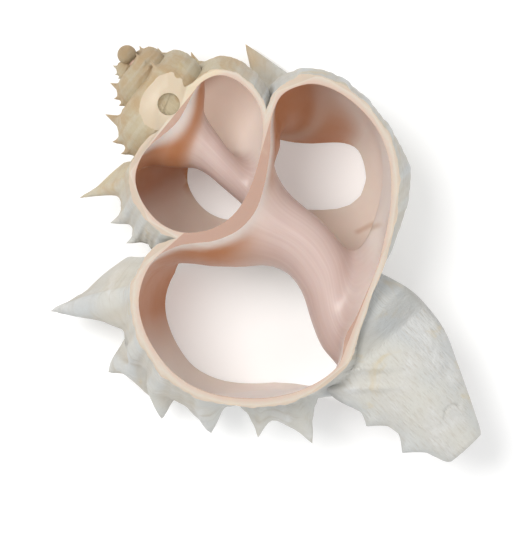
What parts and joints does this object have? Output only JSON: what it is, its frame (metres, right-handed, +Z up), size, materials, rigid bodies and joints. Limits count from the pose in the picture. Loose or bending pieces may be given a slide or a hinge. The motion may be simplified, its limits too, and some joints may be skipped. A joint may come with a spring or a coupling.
{
  "type": "sawn murex shell slice",
  "caption": "Centre slice of a spiny murex shell, sawn lengthwise on two faces, with open chambers round a pink pillar and a siphonal canal.",
  "frame": {"origin": "middle of the slice's bounding box, on the rear saw cut that it rests on", "axes": "+X to the right seen from above, +Y along the shell's axis towards the apex, +Z up out of the front saw cut"},
  "size_m": [0.0524, 0.0714, 0.0203],
  "materials": {
    "shell": "satin"
  },
  "bodies": {
    "root": {"murex_slice": "shell"}
  },
  "joints": []
}
